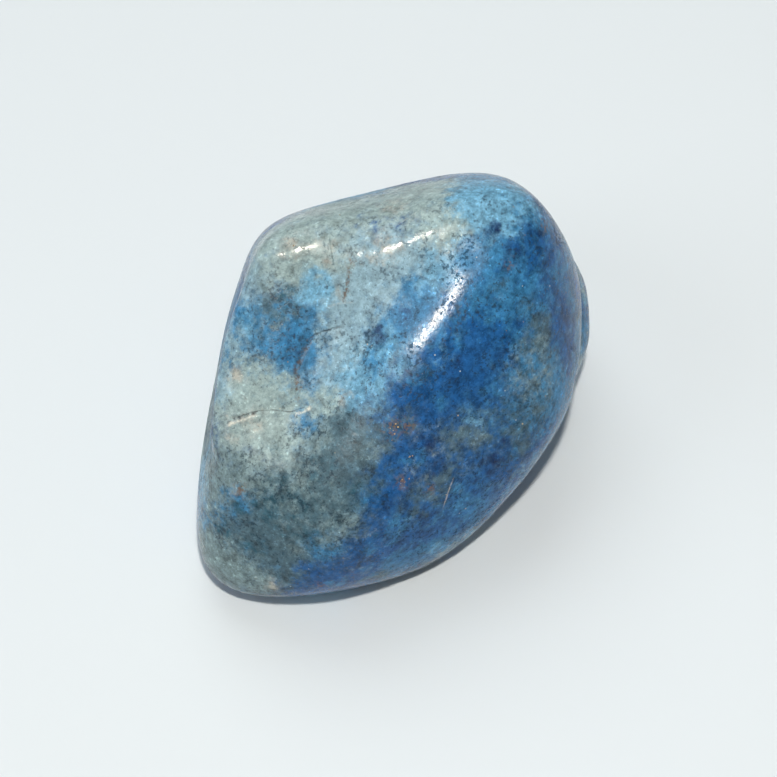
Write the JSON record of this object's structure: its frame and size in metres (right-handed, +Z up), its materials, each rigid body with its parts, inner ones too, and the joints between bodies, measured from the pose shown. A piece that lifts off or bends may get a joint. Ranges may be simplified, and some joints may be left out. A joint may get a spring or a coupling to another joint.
{
  "type": "tumbled lapis lazuli stone",
  "caption": "Tumbled, polished blue stone with a shallow valley beside a worn ridge on top, lying on its flattest side.",
  "frame": {"origin": "on the resting face, under the middle of the stone's box", "axes": "+X along the stone's long axis, from the low rounded lobe towards the high end; +Z up as it lies"},
  "size_m": [0.0394, 0.03, 0.0266],
  "materials": {
    "polished_lapis": "polished by tumbling, with a soft gloss"
  },
  "bodies": {
    "root": {"lapis_stone": "polished_lapis"}
  },
  "joints": []
}
